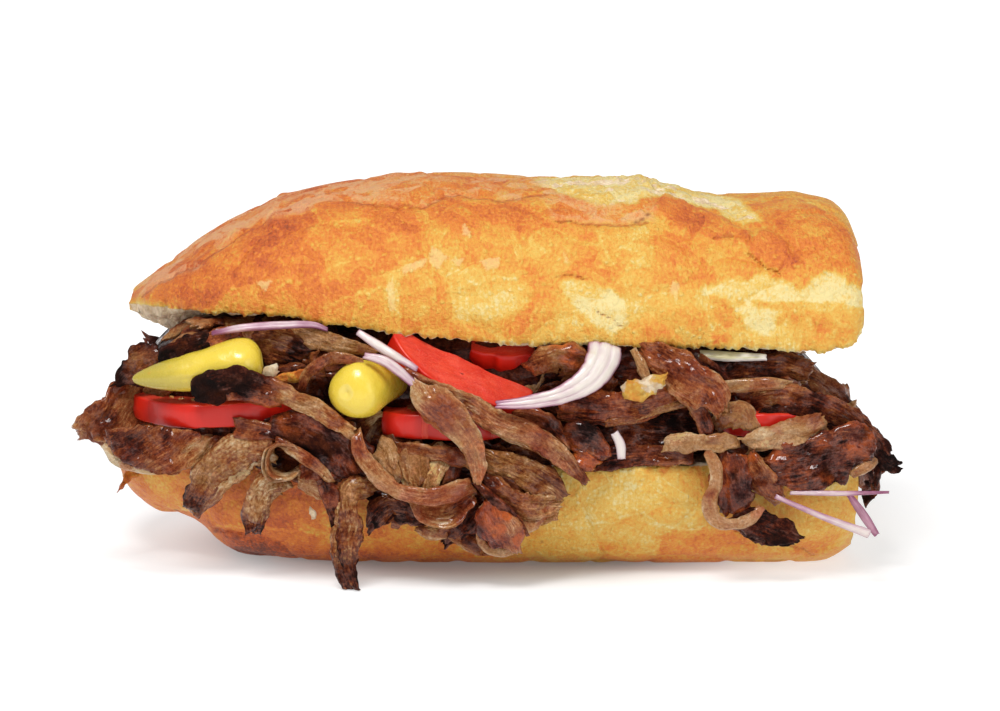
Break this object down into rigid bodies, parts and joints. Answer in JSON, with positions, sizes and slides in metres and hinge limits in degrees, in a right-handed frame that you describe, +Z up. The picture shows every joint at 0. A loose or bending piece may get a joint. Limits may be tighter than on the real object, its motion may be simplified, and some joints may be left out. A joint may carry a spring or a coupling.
{
  "type": "doner kebab sandwich half",
  "caption": "Half of a white loaf split open and filled with sliced doner meat, tomato slices, yellow pickled peppers and red onion, cut across at one end.",
  "frame": {"origin": "on the flat underside of the lower bread, under the middle of the sandwich", "axes": "+X along the loaf towards its cut end, -Y towards the open front where most of the filling shows, +Z up"},
  "size_m": [0.2467, 0.1269, 0.1127],
  "materials": {
    "bread": "thin baked crust, matt, golden to orange brown, with pale crumb at the cuts",
    "meat": "roasted meat, moist, with dark charred edges and paler fat",
    "tomato": "wet, glossy",
    "pepper": "waxy, glossy",
    "onion": "moist, partly see-through"
  },
  "bodies": {
    "root": {"bread_lower": "bread", "bread_upper": "bread", "meat_heap": "meat", "meat_slice_back_left": "meat", "meat_slice_back_middle": "meat", "meat_slice_back_right": "meat", "meat_slice_centre": "meat", "meat_slice_dark": "meat", "meat_slice_dome": "meat", "meat_slice_flap": "meat", "meat_slice_grilled": "meat", "meat_slice_left_inner": "meat", "meat_slice_left_outer": "meat", "meat_slice_low": "meat", "meat_slice_middle_char": "meat", "meat_slice_pocket": "meat", "meat_slice_red": "meat", "meat_slice_ridge": "meat", "meat_slice_right_end": "meat", "meat_slice_rolled": "meat", "meat_slice_torn": "meat", "meat_slice_upper_char": "meat", "meat_strip_beige": "meat", "meat_strip_clear": "meat", "meat_strip_curled": "meat", "meat_strip_left": "meat", "meat_strip_long": "meat", "meat_strip_pale": "meat", "meat_strip_short": "meat", "onion_arc": "onion", "onion_needle_level": "onion", "onion_needle_long": "onion", "onion_needle_short": "onion", "onion_slice_right": "onion", "onion_sliver_middle": "onion", "onion_sliver_right": "onion", "onion_strip_back": "onion", "onion_strip_inner": "onion", "onion_strip_left": "onion", "onion_strip_outer": "onion", "pepper_left": "pepper", "pepper_middle": "pepper", "tomato_slice_back": "tomato", "tomato_slice_left": "tomato", "tomato_slice_middle": "tomato", "tomato_slice_right": "tomato", "tomato_wedge_inner": "tomato", "tomato_wedge_upper": "tomato"}
  },
  "joints": []
}
